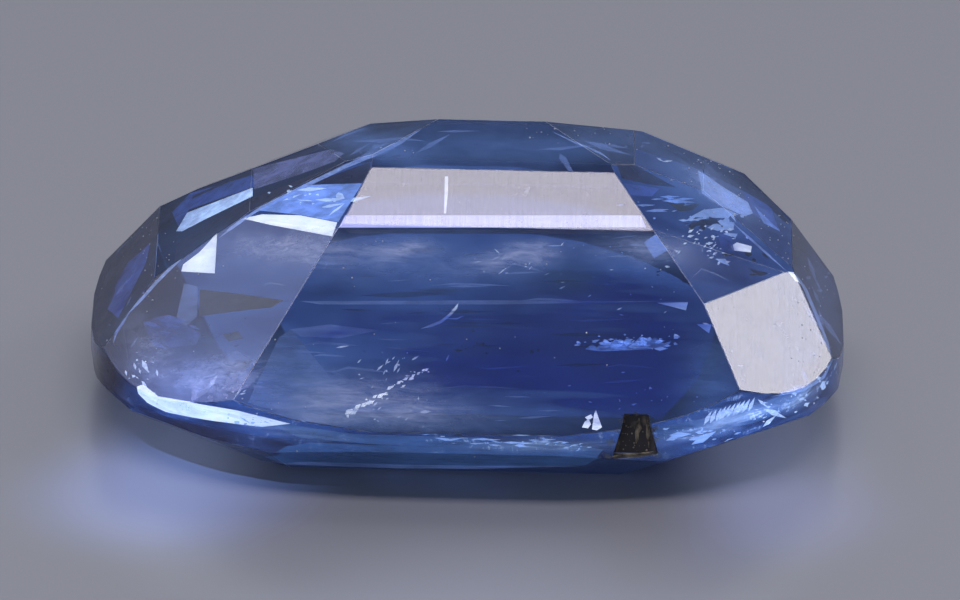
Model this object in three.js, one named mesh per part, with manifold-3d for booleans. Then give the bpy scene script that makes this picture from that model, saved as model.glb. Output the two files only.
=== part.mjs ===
// A faceted sapphire, an elongated cushion with a stepped pavilion, lying on its table.
// Millimetres, +Z up, +X along the stone. The origin is on the table, under the middle of the outline.
// The body is what is left inside a set of flat cuts, as a lapidary makes it: each cut has a turn
// (the way it faces, in degrees from +X), a slope (its tilt from level) and a reach (how far from
// the middle axis it lies at a stated height).
import * as THREE from "three";
import { mergeVertices } from "three/addons/utils/BufferGeometryUtils.js";
import Module from "manifold-3d";

// The outline: a superellipse, squarer along the front than along the back.
const HALF_LENGTH = 4.25;
const HALF_WIDTH = 3.235;
const FRONT_SQUARENESS = 3.0;
const BACK_SQUARENESS = 2.3;
const GIRDLE_FLATS = 56;
const GIRDLE_TOP = 0.8;

// The ways that the main facets face.
const RIGHT = 0;
const BACK = 90;
const LEFT = 180;
const FRONT = 270;

// Pavilion steps, from the girdle up to the keel: turn, slope, reach and the height of that reach.
const FRONT_STEPS = [
  [FRONT, 41.5, HALF_WIDTH, GIRDLE_TOP],
  [FRONT, 32, 1.34, 2.476],
  [FRONT, 24, 0.687, 2.884],
];
const BACK_STEPS = [
  [BACK, 41.5, HALF_WIDTH, GIRDLE_TOP],
  [BACK, 33, 1.2, 2.6],
  [BACK, 30, 0.42, 2.95],
];
const LEFT_STEPS = [
  [LEFT, 48, HALF_LENGTH, GIRDLE_TOP],
  [LEFT, 33.5, 3.5, 1.62],
  [LEFT, 27.5, 2.47, 2.3],
  [LEFT - 10, 20, 1.01, 2.961],
];
const RIGHT_STEPS = [
  [RIGHT, 58, HALF_LENGTH, GIRDLE_TOP],
  [RIGHT, 34, 3.6, 1.8],
  [RIGHT, 26, 2.6, 2.47],
  [RIGHT, 19, 1.83, 2.845],
];
// Corner facets between them. Their reaches are all given at the top of the girdle.
const CORNER_STEPS = [
  [225.9, 36.3, 4.25, GIRDLE_TOP],
  [223.2, 31.3, 4.715, GIRDLE_TOP],
  [326.3, 41.5, 4.535, GIRDLE_TOP],
  [327.6, 34.9, 4.86, GIRDLE_TOP],
  [335.8, 31, 5.22, GIRDLE_TOP],
  [134.1, 36.3, 4.25, GIRDLE_TOP],
  [136.8, 31.3, 4.63, GIRDLE_TOP],
  [150, 53, 4.153, GIRDLE_TOP],
  [40, 41.5, 4.57, GIRDLE_TOP],
  [45, 31, 5.17, GIRDLE_TOP],
  [30, 55, 4.156, GIRDLE_TOP],
];
// Crown facets under the girdle, with their reaches at the table.
const CROWN = [
  [FRONT, 37, 2.5],
  [245, 35, 3.09],
  [232, 33, 3.255],
  [207, 36, 3.63],
  [309, 30.3, 3.04],
  [333, 36, 3.58],
  [LEFT, 36, 3.5],
  [RIGHT, 36, 3.5],
  [BACK, 37, 2.5],
  [128, 33, 3.2],
  [52, 31, 3.1],
];

// The broken, rust-stained pocket in the front of the girdle.
const POCKET_MIDDLE = 1.9;
const POCKET_FOOT_WIDTH = 0.54;
const POCKET_TOP_WIDTH = 0.26;
const POCKET_FOOT = 0.47;
const POCKET_TOP = 0.99;
const POCKET_DEPTH = 0.2;

const SAME_POINT = 1e-6;

// A cut as a plane whose outer side is taken away.
function cut(turn, slope, reach, height, side = 1) {
  const way = THREE.MathUtils.degToRad(turn);
  const tilt = THREE.MathUtils.degToRad(slope);
  const normal = new THREE.Vector3(
    Math.sin(tilt) * Math.cos(way),
    Math.sin(tilt) * Math.sin(way),
    Math.cos(tilt) * side,
  );
  const point = new THREE.Vector3(reach * Math.cos(way), reach * Math.sin(way), height);
  return new THREE.Plane().setFromNormalAndCoplanarPoint(normal, point);
}

// How far the outline's tangent line lies from the middle, for a girdle flat that faces this way.
function outlineReach(turn) {
  const way = THREE.MathUtils.degToRad(turn);
  const squareness = Math.sin(way) < 0 ? FRONT_SQUARENESS : BACK_SQUARENESS;
  const dual = squareness / (squareness - 1);
  const along = Math.abs(HALF_LENGTH * Math.cos(way)) ** dual;
  const across = Math.abs(HALF_WIDTH * Math.sin(way)) ** dual;
  return (along + across) ** (1 / dual);
}

// The one point that three planes share, or null where two of them are parallel.
function meeting(a, b, c) {
  const bc = new THREE.Vector3().crossVectors(b.normal, c.normal);
  const ca = new THREE.Vector3().crossVectors(c.normal, a.normal);
  const ab = new THREE.Vector3().crossVectors(a.normal, b.normal);
  const volume = a.normal.dot(bc);
  if (Math.abs(volume) < SAME_POINT) return null;
  bc.multiplyScalar(-a.constant);
  ca.multiplyScalar(-b.constant);
  ab.multiplyScalar(-c.constant);
  return bc.add(ca).add(ab).divideScalar(volume);
}

// The corners of the body that lies inside every plane.
function cornersInside(planes) {
  const corners = [];
  for (let i = 0; i < planes.length; i += 1) {
    for (let j = i + 1; j < planes.length; j += 1) {
      for (let k = j + 1; k < planes.length; k += 1) {
        const point = meeting(planes[i], planes[j], planes[k]);
        if (!point) continue;
        if (planes.some((plane) => plane.distanceToPoint(point) > SAME_POINT)) continue;
        if (corners.some((corner) => corner.distanceTo(point) < 10 * SAME_POINT)) continue;
        corners.push(point);
      }
    }
  }
  return corners;
}

// The corners that lie on one plane, in turn around its facet.
function facetLoop(plane, corners) {
  const loop = corners.filter((p) => Math.abs(plane.distanceToPoint(p)) < 10 * SAME_POINT);
  const centre = new THREE.Vector3();
  loop.forEach((p) => centre.addScaledVector(p, 1 / loop.length));
  const across = new THREE.Vector3().subVectors(loop[0] ?? centre, centre).normalize();
  const up = new THREE.Vector3().crossVectors(plane.normal, across);
  const angle = (p) => {
    const arm = new THREE.Vector3().subVectors(p, centre);
    return Math.atan2(arm.dot(up), arm.dot(across));
  };
  return loop.sort((p, q) => angle(p) - angle(q));
}

// The closed body inside a set of planes, with each facet filled by a fan of triangles.
function bodyInside(planes) {
  const corners = cornersInside(planes);
  const positions = [];
  for (const plane of planes) {
    const loop = facetLoop(plane, corners);
    for (let i = 1; i + 1 < loop.length; i += 1) {
      positions.push(...loop[0].toArray(), ...loop[i].toArray(), ...loop[i + 1].toArray());
    }
  }
  const geometry = new THREE.BufferGeometry();
  geometry.setAttribute("position", new THREE.Float32BufferAttribute(positions, 3));
  return mergeVertices(geometry, 1e-5);
}

function stonePlanes() {
  const pavilion = [FRONT_STEPS, BACK_STEPS, LEFT_STEPS, RIGHT_STEPS, CORNER_STEPS].flat();
  const planes = pavilion.map((step) => cut(...step));
  for (const [turn, slope, reach] of CROWN) {
    planes.push(cut(turn, slope, reach, 0, -1));
  }
  for (let flat = 0; flat < GIRDLE_FLATS; flat += 1) {
    const turn = (flat * 360) / GIRDLE_FLATS;
    planes.push(cut(turn, 90, outlineReach(turn), 0));
  }
  const table = new THREE.Plane(new THREE.Vector3(0, 0, -1), 0);
  planes.push(table);
  return planes;
}

// The pocket narrows upwards, and its back wall leans inwards over a sloping sill.
function pocketPlanes() {
  const rise = POCKET_TOP - POCKET_FOOT;
  const lean = Math.atan2((POCKET_FOOT_WIDTH - POCKET_TOP_WIDTH) / 2, rise);
  const sideSlope = 90 - THREE.MathUtils.radToDeg(lean);
  const side = cut(RIGHT, sideSlope, POCKET_MIDDLE + POCKET_FOOT_WIDTH / 2, POCKET_FOOT);
  const otherSide = cut(LEFT, sideSlope, POCKET_FOOT_WIDTH / 2 - POCKET_MIDDLE, POCKET_FOOT);
  const roof = cut(BACK, 20, POCKET_DEPTH - HALF_WIDTH, POCKET_TOP);
  const sill = cut(BACK, 25, -HALF_WIDTH, POCKET_FOOT, -1);
  const backWall = cut(BACK, 75, POCKET_DEPTH - HALF_WIDTH, (POCKET_FOOT + POCKET_TOP) / 2, -1);
  const outside = cut(FRONT, 90, HALF_WIDTH + POCKET_DEPTH, 0);
  return [side, otherSide, roof, sill, backWall, outside];
}

const wasm = await Module();
wasm.setup();

function toSolid(geometry) {
  return new wasm.Manifold(
    new wasm.Mesh({
      numProp: 3,
      vertProperties: geometry.getAttribute("position").array,
      triVerts: new Uint32Array(geometry.index.array),
    }),
  );
}

function toGeometry(solid) {
  const mesh = solid.getMesh();
  const geometry = new THREE.BufferGeometry();
  geometry.setAttribute("position", new THREE.BufferAttribute(mesh.vertProperties, 3));
  geometry.setIndex(new THREE.BufferAttribute(mesh.triVerts, 1));
  geometry.computeVertexNormals();
  return geometry;
}

const stone = toSolid(bodyInside(stonePlanes()));
const pocket = toSolid(bodyInside(pocketPlanes()));

const blueCrystal = new THREE.MeshStandardMaterial({
  name: "sapphire_blue",
  color: 0x2f4a9c,
  roughness: 0.05,
  metalness: 0,
  flatShading: true,
});

const sapphire = new THREE.Mesh(toGeometry(stone.subtract(pocket)), blueCrystal);
sapphire.name = "sapphire";

const part = new THREE.Group();
part.add(sapphire);

export default part;
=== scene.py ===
# %% [markdown]
# # A cut sapphire, lying on its table
# The stone is one crystal, cut as an elongated cushion. It lies upside down: its flat table is on the
# floor and its stepped pavilion is up. The solid comes from the frame, in metres, and this lesson
# gives it its polish, its colour, its rubbed edges, what is enclosed in it and what has settled on it.

# %% Load the frame
import math
import random

import bmesh
import bpy
from mathutils import Matrix, Vector
from mathutils.bvhtree import BVHTree


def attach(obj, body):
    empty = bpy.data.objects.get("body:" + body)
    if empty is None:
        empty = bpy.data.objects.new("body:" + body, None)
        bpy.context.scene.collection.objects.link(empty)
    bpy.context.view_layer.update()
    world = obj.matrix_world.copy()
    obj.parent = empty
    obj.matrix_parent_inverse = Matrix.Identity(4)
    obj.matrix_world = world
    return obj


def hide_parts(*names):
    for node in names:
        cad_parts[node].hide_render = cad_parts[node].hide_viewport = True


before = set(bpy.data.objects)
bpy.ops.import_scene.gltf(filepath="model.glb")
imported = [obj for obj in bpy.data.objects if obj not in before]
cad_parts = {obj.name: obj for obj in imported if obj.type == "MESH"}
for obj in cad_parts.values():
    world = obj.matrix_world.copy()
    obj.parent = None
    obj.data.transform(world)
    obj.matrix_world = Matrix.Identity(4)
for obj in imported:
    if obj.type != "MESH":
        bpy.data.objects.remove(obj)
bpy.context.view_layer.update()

MM = 0.001

# %% [markdown]
# ## The camera
# A gem is photographed from a distance with a long lens, so its far facets look as large as its near
# ones. The camera stands in front of the stone, about 24 degrees above the floor, and is turned a
# little about its own axis, because the stone in the photograph lies a little out of level.

# %% Camera
IMAGE_WIDE, IMAGE_HIGH = 960, 600
STONE_LENGTH, STONE_PIXELS = 8.5 * MM, 750
PIXEL = STONE_LENGTH / STONE_PIXELS
CAMERA_RISE = math.radians(24.5)
CAMERA_ROLL = math.radians(1.3)
LENS_MM, SENSOR_MM = 500, 36
NEAR_CLIP, FAR_CLIP = 10 * MM, 2000 * MM
LOOK_AT = Vector((0.133, 0.062, 0.937)) * MM

camera_back = Vector((0, -math.cos(CAMERA_RISE), math.sin(CAMERA_RISE)))
camera_distance = PIXEL * IMAGE_WIDE * LENS_MM / SENSOR_MM


def placed(name, data):
    """A new object in the scene."""
    made = bpy.data.objects.new(name, data)
    bpy.context.scene.collection.objects.link(made)
    return made


camera_data = bpy.data.cameras.new("gem_camera")
camera_data.lens, camera_data.sensor_width = LENS_MM, SENSOR_MM
camera_data.clip_start, camera_data.clip_end = NEAR_CLIP, FAR_CLIP
camera = placed("gem_camera", camera_data)
upright = (-camera_back).to_track_quat("-Z", "Y").to_matrix()
turned = upright @ Matrix.Rotation(CAMERA_ROLL, 3, "Z")
camera.matrix_world = Matrix.Translation(LOOK_AT + camera_back * camera_distance) @ turned.to_4x4()
bpy.context.scene.camera = camera
print("the camera stands", round(camera_distance / MM), "mm from the stone")


def line_of_sight(x, y):
    """Where the camera's ray through an image point starts, and which way it goes."""
    right = (x - IMAGE_WIDE / 2) * PIXEL
    up = (IMAGE_HIGH / 2 - y) * PIXEL
    eye = camera.matrix_world.translation
    through = camera.matrix_world @ Vector((right, up, -camera_distance))
    return eye, (through - eye).normalized()


# %% [markdown]
# ## Writing shaders as sums
# A material is a graph of nodes. Drawn by hand it is quick to read, but written in code it soon hides
# what it works out. So one small class wraps a socket, and plus, minus and times add the Math nodes:
# 1 - mask is a node too. Every other node comes from one method, which sets the node's settings
# first and then the values or links of its sockets.

# %% Sockets that can be added and multiplied
class Wire:
    """A socket that carries a value, on which arithmetic adds Math nodes."""

    def __init__(self, finish, socket):
        self.finish = finish
        self.socket = socket

    def maths(self, operation, first, second=0.0, clamp=False):
        settings = {"operation": operation, "use_clamp": clamp}
        return self.finish.node("ShaderNodeMath", settings, {0: first, 1: second})

    def __add__(self, other):
        return self.maths("ADD", self, other)

    def __mul__(self, other):
        return self.maths("MULTIPLY", self, other)

    def __sub__(self, other):
        return self.maths("SUBTRACT", self, other)

    def __rsub__(self, other):
        return self.maths("SUBTRACT", other, self)

    def __rpow__(self, other):
        return self.maths("POWER", other, self)

    __radd__ = __add__
    __rmul__ = __mul__

    def clipped(self):
        """The value kept between 0 and 1."""
        return self.maths("ADD", self, 0.0, clamp=True)


class Finish:
    """A material or a world, and the nodes in it."""

    def __init__(self, owner):
        self.owner = owner
        self.owner.use_nodes = True
        self.tree = owner.node_tree
        self.tree.nodes.clear()

    @classmethod
    def named(cls, name):
        return cls(bpy.data.materials.new(name))

    def node(self, kind, settings=None, sockets=None, output=0):
        made = self.tree.nodes.new(kind)
        for name, value in (settings or {}).items():
            setattr(made, name, value)
        for key, value in (sockets or {}).items():
            socket = self.find(made.inputs, key)
            if isinstance(value, Wire):
                self.tree.links.new(value.socket, socket)
            else:
                socket.default_value = value
        return Wire(self, self.find(made.outputs, output) if made.outputs else None)

    @staticmethod
    def find(sockets, key):
        if isinstance(key, int):
            return sockets[key]
        return next((s for s in sockets if s.identifier == key), None) or sockets[key]

    def blend(self, share, first, second):
        """A colour between two others."""
        names = {"Factor_Float": share, "A_Color": first, "B_Color": second}
        return self.node("ShaderNodeMix", {"data_type": "RGBA"}, names, "Result_Color")

    def along(self, direction):
        """How far a point lies along a direction from the middle of the table, in millimetres."""
        where = self.node("ShaderNodeTexCoord", output="Object")
        names = {0: where, 1: [part / MM for part in direction]}
        return self.node("ShaderNodeVectorMath", {"operation": "DOT_PRODUCT"}, names, "Value")

    def noise(self, scale, detail=2.0, roughness=0.5, distortion=0.0):
        """Noise in the stone. The scale says how many blots there are in a millimetre each way."""
        where = self.node("ShaderNodeTexCoord", output="Object")
        names = {"Vector": where, "Scale": [s / MM for s in scale]}
        names = {"Vector": self.node("ShaderNodeMapping", {}, names), "Scale": 1.0}
        names |= {"Detail": detail, "Roughness": roughness, "Distortion": distortion}
        return self.node("ShaderNodeTexNoise", {}, names)

    def bump(self, height, strength, distance):
        names = {"Height": height, "Strength": strength, "Distance": distance}
        return self.node("ShaderNodeBump", {}, names)

    def principled(self, names):
        return self.node("ShaderNodeBsdfPrincipled", {}, names)

    def mixed(self, share, first, second):
        """One shader laid over another by a share."""
        return self.node("ShaderNodeMixShader", {}, {0: share, 1: first, 2: second})

    def mark(self, name):
        """1 on the faces that carry this mark in the mesh, else 0."""
        return self.node("ShaderNodeAttribute", {"attribute_name": name}, output="Fac")

    def surface(self, shader, volume=None):
        names = {"Surface": shader}
        if volume:
            names["Volume"] = volume
        self.node("ShaderNodeOutputMaterial", {}, names)
        return self.owner


# %% [markdown]
# ## The crystal's clear body
# Sapphire is see-through, so its colour isn't on its surface: white light goes in, and the body keeps
# red and green back, more the further the light goes. A volume that absorbs does that. The surface
# only bends and mirrors light, by its index of refraction, 1.77.

# %% Colour of the body
SAPPHIRE_IOR = 1.77
LOSS_PER_MM = (0.52, 0.38, 0.19)
DENSEST_LOSS = 700.0
BODY_COLOUR = tuple(1 - loss / MM / DENSEST_LOSS for loss in LOSS_PER_MM) + (1.0,)


def body_volume(finish):
    names = {"Color": BODY_COLOUR, "Density": DENSEST_LOSS}
    return finish.node("ShaderNodeVolumeAbsorption", {}, names)


def clear_crystal(finish, polish, tint=(1, 1, 1, 1), roughness=0.02):
    return finish.principled({
        "Base Color": tint,
        "Roughness": roughness,
        "IOR": SAPPHIRE_IOR,
        "Transmission Weight": 1.0,
        "Normal": polish,
    })


def cloudy_crystal(finish, polish, colour, roughness=0.12):
    return finish.principled({
        "Base Color": colour,
        "Roughness": roughness,
        "IOR": SAPPHIRE_IOR,
        "Normal": polish,
    })


# %% [markdown]
# ## Where the colour lies
# A sapphire grows in layers, and the layers hold more or less colour. In this one a royal blue heart
# lies right of the middle, a paler grey-blue part on the left, and faint streaks run along the
# stone. They could be inner bodies, but light would bend again at each of them. So the colour is a
# tint of the facets: soft spots, each with its centre and its half sizes, bent by noise. A centre is
# given as a point of the photograph, and turned into millimetres on the stone's front.

# %% Soft spots of colour
STONE_RIGHT = Vector(turned.col[0])
STONE_UP = Vector(turned.col[1])


def front_place(x, y):
    """Millimetres to the right and up, on the stone's front, of an image point."""
    right = (x - IMAGE_WIDE / 2) * PIXEL + LOOK_AT.dot(STONE_RIGHT)
    up = (IMAGE_HIGH / 2 - y) * PIXEL + LOOK_AT.dot(STONE_UP)
    return right / MM, up / MM


class Front:
    """Coordinates on the stone's front, slightly wavy, as a finish reads them."""

    def __init__(self, finish, wave=0.22):
        self.finish = finish
        drift = finish.noise((1.4, 1.4, 2.2), detail=3.0) - 0.5
        other = finish.noise((2.6, 2.0, 3.1), detail=3.0) - 0.5
        self.right = finish.along(STONE_RIGHT) + wave * 2 * drift
        self.up = finish.along(STONE_UP) + wave * other

    def spot(self, centre, half_wide, half_high, turn=0.0):
        """1 at the centre of a soft spot, falling to a third at its half sizes, in pixels."""
        x, y = front_place(*centre)
        c, s = math.cos(math.radians(turn)), math.sin(math.radians(turn))
        wide, high = half_wide * PIXEL / MM, half_high * PIXEL / MM
        right, up = self.right - x, self.up - y
        across = right * (c / wide) + up * (s / wide)
        upward = up * (c / high) - right * (s / high)
        return math.e ** (-1.0 * (across * across + upward * upward))

    def spots(self, rows):
        """The sum of spots, each row a strength and the values of its spot."""
        total = 0.0
        for strength, *values in rows:
            total = total + strength * self.spot(*values)
        return total


ROYAL_SPOTS = [
    (1.25, (610, 338), 125, 52, -3),
    (0.85, (490, 345), 78, 30, 5),
    (0.95, (650, 388), 80, 44, 0),
    (0.60, (390, 325), 70, 20, 4),
    (0.80, (530, 392), 110, 32, 0),
    (1.00, (160, 333), 30, 13, 0),
    (0.40, (390, 385), 110, 30, 0),
    (0.55, (725, 252), 34, 28, 0),
    (0.70, (590, 280), 70, 22, 0),
    (0.40, (330, 330), 45, 12, 4),
    (0.85, (112, 300), 26, 70, -20),
    (0.60, (170, 215), 60, 20, 35),
    (0.45, (785, 245), 30, 50, 30),
]
OLIVE_SPOTS = [
    (1.3, (565, 276), 40, 16, 0),
    (0.8, (340, 288), 44, 13, 0),
    (0.7, (690, 212), 26, 9, -10),
    (0.4, (420, 330), 22, 10, 0),
]
SLATE_SPOTS = [
    (0.34, (205, 350), 62, 46, 0),
    (0.18, (445, 330), 62, 26, 0),
    (0.52, (310, 385), 56, 42, 0),
    (0.40, (420, 418), 190, 14, 0),
    (0.35, (705, 372), 30, 40, 0),
    (0.45, (645, 255), 52, 16, -8),
    (0.44, (475, 148), 110, 24, 0),
    (0.30, (235, 262), 50, 30, 0),
    (0.62, (425, 262), 100, 26, 0),
    (0.75, (330, 450), 62, 10, -5),
    (0.30, (450, 455), 120, 8, 0),
    (0.55, (700, 185), 60, 26, -28),
    (0.50, (375, 145), 50, 16, -22),
    (0.22, (600, 143), 60, 16, 10),
    (0.34, (822, 295), 18, 60, 15),
]
PALE_SPOTS = [
    (0.20, (340, 250), 75, 20, 0),
    (0.34, (515, 256), 46, 12, 10),
    (0.20, (350, 398), 80, 22, 8),
    (0.26, (220, 378), 50, 22, 15),
    (0.14, (160, 368), 22, 22, 30),
    (0.24, (280, 246), 46, 14, 0),
    (0.20, (725, 195), 40, 14, -35),
    (0.16, (140, 340), 22, 30, 20),
    (0.20, (650, 248), 50, 12, 0),
    (0.22, (415, 405), 60, 20, 0),
    (0.22, (405, 250), 26, 8, 0),
]

# %% [markdown]
# ## Polished facets
# A hand-cut facet is flat but not perfect: the lap leaves fine parallel lines that catch the light.
# They could be cut in the mesh, but at a thousandth of a millimetre a bump is the right tool. The
# facets at the front carry the spots of colour, and a milky cloud over the paler ones.

# %% Look of the front facets
def front_facets(finish):
    front = Front(finish)
    broad = finish.noise((0.32, 2.6, 4.2), roughness=0.6)
    fine = finish.noise((0.8, 9.0, 15.0), detail=3.0, roughness=0.65)
    streaks = (broad * 2.6 - 0.8).clipped()
    royal = (front.spots(ROYAL_SPOTS) * (0.20 + 1.15 * streaks + 0.5 * fine)).clipped()
    olive = (front.spots(OLIVE_SPOTS) * (0.3 + 1.2 * fine)).clipped()
    tint = finish.blend(royal, (0.80, 0.82, 0.92, 1), (0.014, 0.026, 0.26, 1))
    tint = finish.blend(olive, tint, (0.06, 0.09, 0.12, 1))
    wisps = finish.noise((1.8, 4.0, 7.0), detail=5.0, roughness=0.68, distortion=1.0)
    threads = finish.noise((2.2, 10.0, 15.0), detail=4.0, roughness=0.7, distortion=1.0)
    slate = (front.spots(SLATE_SPOTS) * (0.55 + 0.5 * wisps + 0.4 * streaks)).clipped() * 0.85
    pale = (front.spots(PALE_SPOTS) * (1.0 * wisps + 2.4 * threads - 0.8)).clipped()
    cloud = finish.blend(wisps, (0.07, 0.17, 0.45, 1), (0.20, 0.37, 0.80, 1))
    cloud = finish.blend((pale * 2.5).clipped(), cloud, (0.60, 0.69, 0.98, 1))
    lines = finish.noise((7, 0.9, 0.9), detail=1.0)
    polish = finish.bump(lines + wisps * 0.3, 0.05, 0.002 * MM)
    clear = clear_crystal(finish, polish, tint)
    share = (slate + pale + 0.06).clipped()
    return finish.mixed(share, clear, cloudy_crystal(finish, polish, cloud))


# %% Look of the other facets
def plain_facets(finish):
    layers = finish.noise((0.5, 1.2, 2.6), detail=3.0, roughness=0.6)
    tint = finish.blend((layers * 3.4 - 1.2).clipped(), (1, 1, 1, 1), (0.24, 0.30, 0.60, 1))
    lines = finish.noise((2, 8, 2), roughness=0.6)
    polish = finish.bump(lines, 0.10, 0.002 * MM)
    silk = cloudy_crystal(finish, polish, (0.020, 0.055, 0.42, 1))
    return finish.mixed((layers * 0.9 - 0.10).clipped(), clear_crystal(finish, polish, tint), silk)


# %% [markdown]
# ## The bright bands
# Two facets mirror a light straight at the viewer, so they show every fault of their polish: lines
# that run up the facet, and dull spots between them.

# %% Look of the mirroring facets
def lined_facets(finish):
    lines = finish.noise((26, 1.2, 1.2), detail=4.0, roughness=0.75)
    blots = finish.noise((3.5, 3.5, 3.5), detail=5.0, roughness=0.65)
    pits = finish.noise((14, 14, 14), detail=3.0, roughness=0.6)
    polish = finish.bump(lines * 0.8 + blots, 0.28, 0.004 * MM)
    tint = finish.blend(blots, (0.12, 0.14, 0.34, 1), (0.60, 0.62, 0.80, 1))
    clear = clear_crystal(finish, polish, tint, 0.03 + 0.12 * blots)
    dull = cloudy_crystal(finish, polish, (0.34, 0.33, 0.46, 1), 0.32)
    bright = cloudy_crystal(finish, polish, (0.85, 0.84, 0.95, 1), 0.25)
    worn = (lines * 1.7 + blots * 2.0 - 1.6).clipped() * 0.42
    pitted = (pits * blots * 9.0 - 3.4).clipped() * 0.28
    return finish.mixed(pitted, finish.mixed(worn, clear, dull), bright)


# %% [markdown]
# ## The girdle and the rubbed edges
# The girdle is ground and only half polished, so light that comes through the stone leaves there as
# a soft glow, brightest at the left corner. That glow is painted light: a paler colour and an
# emission on the ground part of the girdle. The edges between facets are worn, and where the
# wear is deepest they are pale.

# %% Look of the girdle and the edges
# Spots where the girdle carries painted glow, and below them spots where that glow is held back.
GLOW_SPOTS = [
    (0.30, (300, 430), 50, 5, -7),
    (0.40, (545, 443), 60, 5, 0),
    (0.45, (725, 418), 60, 8, 18),
    (0.35, (800, 390), 24, 8, 50),
]
DIM_SPOTS = [
    (1.2, (108, 372), 26, 34, 25),
    (1.2, (205, 430), 62, 12, -14),
]


def ground_girdle(finish):
    front = Front(finish, wave=0.06)
    dim = front.spots(DIM_SPOTS).clipped()
    grain = finish.noise((5, 5, 5), detail=5.0, roughness=0.65)
    steps = finish.noise((1.6, 1.6, 9), detail=5.0, roughness=0.65, distortion=0.6)
    chips = finish.noise((7, 7, 3), detail=5.0, roughness=0.7, distortion=1.5)
    glow = (front.spots(GLOW_SPOTS) * (0.2 + 1.5 * steps)).clipped()
    sparkle = ((chips * steps * 7.0 - 2.1).clipped() * 0.5 + glow).clipped()
    rough = finish.bump(grain + steps, 0.30, 0.008 * MM)
    clear = clear_crystal(finish, rough, (0.70, 0.84, 1, 1), 0.08 + 0.15 * grain)
    # The ground part is painted light: a paler colour and an emission where glow and sparkle lie.
    ground = finish.principled({
        "Base Color": finish.blend(sparkle, (0.07, 0.19, 0.55, 1), (0.60, 0.78, 1, 1)),
        "Roughness": 0.35,
        "IOR": SAPPHIRE_IOR,
        "Emission Color": finish.blend(sparkle, (0.03, 0.085, 0.30, 1), (0.50, 0.70, 1, 1)),
        "Emission Strength": 0.8,
        "Normal": rough,
    })
    share = (sparkle * 0.8 + 1.5 * steps - 0.45).clipped() * 0.7 * (1 - dim)
    return finish.mixed(share, clear, ground)


def rubbed_edges(finish):
    wear = finish.noise((4, 4, 4), detail=5.0, roughness=0.7)
    rough = finish.bump(wear, 0.5, 0.006 * MM)
    clear = clear_crystal(finish, rough, (0.8, 0.85, 1, 1), 0.3)
    pale = cloudy_crystal(finish, rough, (0.42, 0.50, 0.72, 1), 0.3)
    share = (wear * 5.0 - 2.4).clipped() * 0.6
    return finish.mixed(share, clear, pale)


# %% [markdown]
# ## One crystal, one material
# Light that goes in at one facet leaves at another, and the renderer ends a volume only where the
# same material ends. So the looks are not five materials but one: each face carries a mark, and a
# Mix Shader picks the look by it.

# %% Finish of the crystal
LOOKS = {
    "frontal": front_facets,
    "mirroring": lined_facets,
    "girdle": ground_girdle,
    "rubbed": rubbed_edges,
}


def crystal_finish():
    finish = Finish.named("blue_sapphire")
    shader = plain_facets(finish)
    for mark, look in LOOKS.items():
        shader = finish.mixed(finish.mark(mark), shader, look(finish))
    return finish.surface(shader, body_volume(finish))


# %% [markdown]
# ## The stained pocket
# A piece has broken out of the girdle at the front, and iron rust has settled in the hollow: nearly
# black at the back, with two tan runs. It isn't clear, so it has an ordinary matt surface.

# %% Finish of the pocket
def stain_finish():
    finish = Finish.named("rust_stained_pocket")
    blotch = finish.noise((5, 5, 5), detail=5.0, roughness=0.65)
    runs = finish.noise((12, 12, 1.5), detail=3.0)
    share = (runs * blotch * 8.0 - 2.2).clipped()
    rust = finish.blend(share, (0.030, 0.023, 0.022, 1), (0.20, 0.15, 0.10, 1))
    names = {
        "Base Color": rust,
        "Roughness": 0.4 + 0.3 * blotch,
        "Normal": finish.bump(blotch, 0.6, 0.02 * MM),
    }
    return finish.surface(finish.principled(names))


# %% [markdown]
# ## The stone's mesh
# The frame's solid is made of triangles. Joining those that lie in one plane gives the real facets
# back, and a bevel far thinner than a hair gives the edges between them their rubbed look. The new
# mesh then stands for the solid. A facet is found by the way it faces: its turn from +X and its
# slope from level, as the cutter would set them.

# %% Build the stone
EDGE_WEAR = 0.005 * MM
SAME_POINT = 0.0005 * MM
ONE_PLANE, SHARP_EDGE, SAME_WAY = (math.radians(angle) for angle in (1.2, 1.5, 1))
HOLLOW_DEPTH = 0.01 * MM
NEARLY_LEVEL = 0.02
PLAIN, STAINED = "plain", "stained"
MIRRORING_FACETS = [(270, 32), (326.3, 41.5)]


def facing(turn, slope):
    turn, slope = math.radians(turn), math.radians(slope)
    level = math.sin(slope)
    return Vector((level * math.cos(turn), level * math.sin(turn), math.cos(slope)))


def facets_of(node):
    """The solid's facets, each as one flat polygon."""
    facets = bmesh.new()
    facets.from_mesh(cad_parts[node].data)
    bmesh.ops.remove_doubles(facets, verts=facets.verts, dist=SAME_POINT)
    bmesh.ops.dissolve_limit(facets, angle_limit=ONE_PLANE, verts=facets.verts, edges=facets.edges)
    facets.normal_update()
    return facets


def is_hollow(face, corners):
    """True for a wall of the pocket: part of the stone stands out in front of it."""
    at = face.verts[0].co
    return any((corner - at).dot(face.normal) > HOLLOW_DEPTH for corner in corners)


def mark_of(face, corners):
    if is_hollow(face, corners):
        return STAINED
    if abs(face.normal.z) < NEARLY_LEVEL:
        return "girdle"
    if any(face.normal.angle(facing(*way)) < SAME_WAY for way in MIRRORING_FACETS):
        return "mirroring"
    return "frontal" if face.normal.dot(camera_back) > NEARLY_LEVEL else PLAIN


def level_facets(mesh):
    """Give every corner of a flat facet the facet's own normal, so it mirrors as one plane."""
    normals = [corner.vector.copy() for corner in mesh.corner_normals]
    for polygon in mesh.polygons:
        if not polygon.use_smooth:
            for corner in polygon.loop_indices:
                normals[corner] = polygon.normal.copy()
        polygon.use_smooth = True
    mesh.normals_split_custom_set(normals)


def finished(name, work):
    """A mesh that can be shown, made of a work mesh, which is let go."""
    mesh = bpy.data.meshes.new(name)
    work.to_mesh(mesh)
    work.free()
    return mesh


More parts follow.
